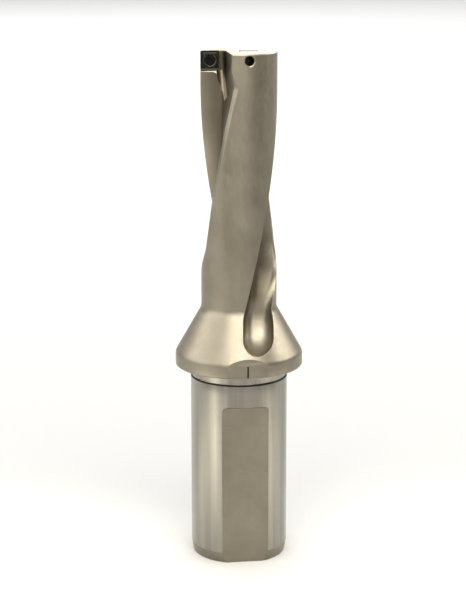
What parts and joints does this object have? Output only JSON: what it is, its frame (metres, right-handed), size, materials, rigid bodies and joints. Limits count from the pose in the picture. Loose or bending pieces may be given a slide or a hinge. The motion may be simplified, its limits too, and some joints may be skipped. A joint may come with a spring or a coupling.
{
  "type": "indexable drill",
  "caption": "Indexable insert drill with a fluted steel body, a conical flange, a flatted shank for side clamping and screwed square carbide inserts.",
  "frame": {"origin": "centre of the shank's rear face, on the drill's axis", "axes": "+Z along the drill's axis to the cutting end, -Y out of the clamping flat, -X to the outer insert"},
  "size_m": [0.042, 0.041, 0.1688],
  "materials": {
    "body_steel": "satin nickel on blasted steel, with a ground shank",
    "coated_carbide": "dark grey coated carbide",
    "screw_steel": "black oxide"
  },
  "bodies": {
    "root": {"drill_body": "body_steel", "outer_insert": "coated_carbide", "inner_insert": "coated_carbide", "insert_screws": "screw_steel"}
  },
  "joints": []
}
